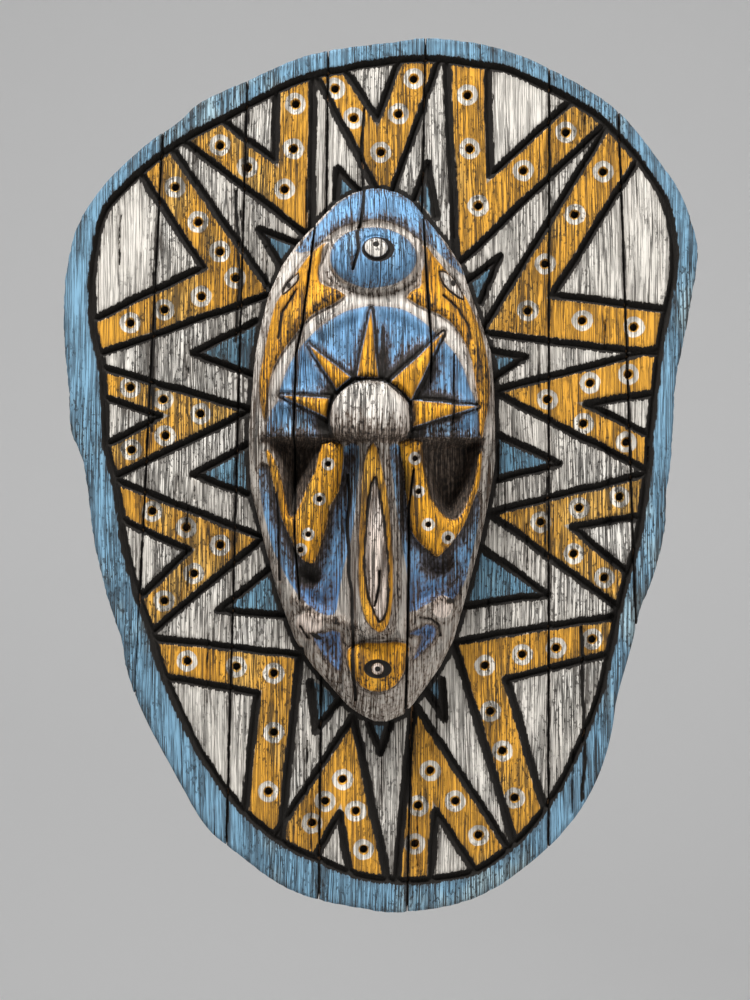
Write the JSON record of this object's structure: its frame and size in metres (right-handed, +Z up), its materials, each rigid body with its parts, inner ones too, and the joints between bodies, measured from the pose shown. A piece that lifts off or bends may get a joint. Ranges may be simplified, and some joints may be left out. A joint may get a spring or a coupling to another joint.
{
  "type": "wall mask",
  "caption": "Carved and painted folk-art face mask on a planked shield-shaped board, with battens and a hanging ring on its back.",
  "frame": {"origin": "point on the wall plane directly behind the place where a wall hook carries the hanging ring", "axes": "+Z up along the shield's height, the mask looks towards -Y, +X to the right as the mask is looked at"},
  "size_m": [0.2904, 0.0768, 0.4002],
  "materials": {
    "painted_plank": "weathered paint in ochre, off-white and blue over carved wood",
    "painted_face": "weathered paint in blue, ochre and off-white over carved wood",
    "batten_wood": "raw sawn wood",
    "zinc_steel": "zinc-plated, dulled",
    "brass": "dull brass-plated sheet and wire"
  },
  "bodies": {
    "shield": {"shield_plank_1": "painted_plank", "shield_plank_2": "painted_plank", "shield_plank_3": "painted_plank", "shield_plank_4": "painted_plank", "shield_plank_5": "painted_plank", "shield_plank_6": "painted_plank", "shield_plank_7": "painted_plank", "face_stave_left": "painted_face", "face_stave_middle": "painted_face", "face_stave_right": "painted_face", "batten_upper": "batten_wood", "batten_lower": "batten_wood", "batten_screws": "zinc_steel", "face_screws": "zinc_steel", "hanger_strap": "brass", "hanger_screws": "zinc_steel"},
    "ring": {"hanger_ring": "brass"}
  },
  "joints": [
    {"name": "ring_swing", "type": "hinge", "parent": "shield", "child": "ring", "pos_m": [0, -0.009, -0.02048], "axis": [-1, 0, 0], "range_deg": [0, 170]}
  ]
}
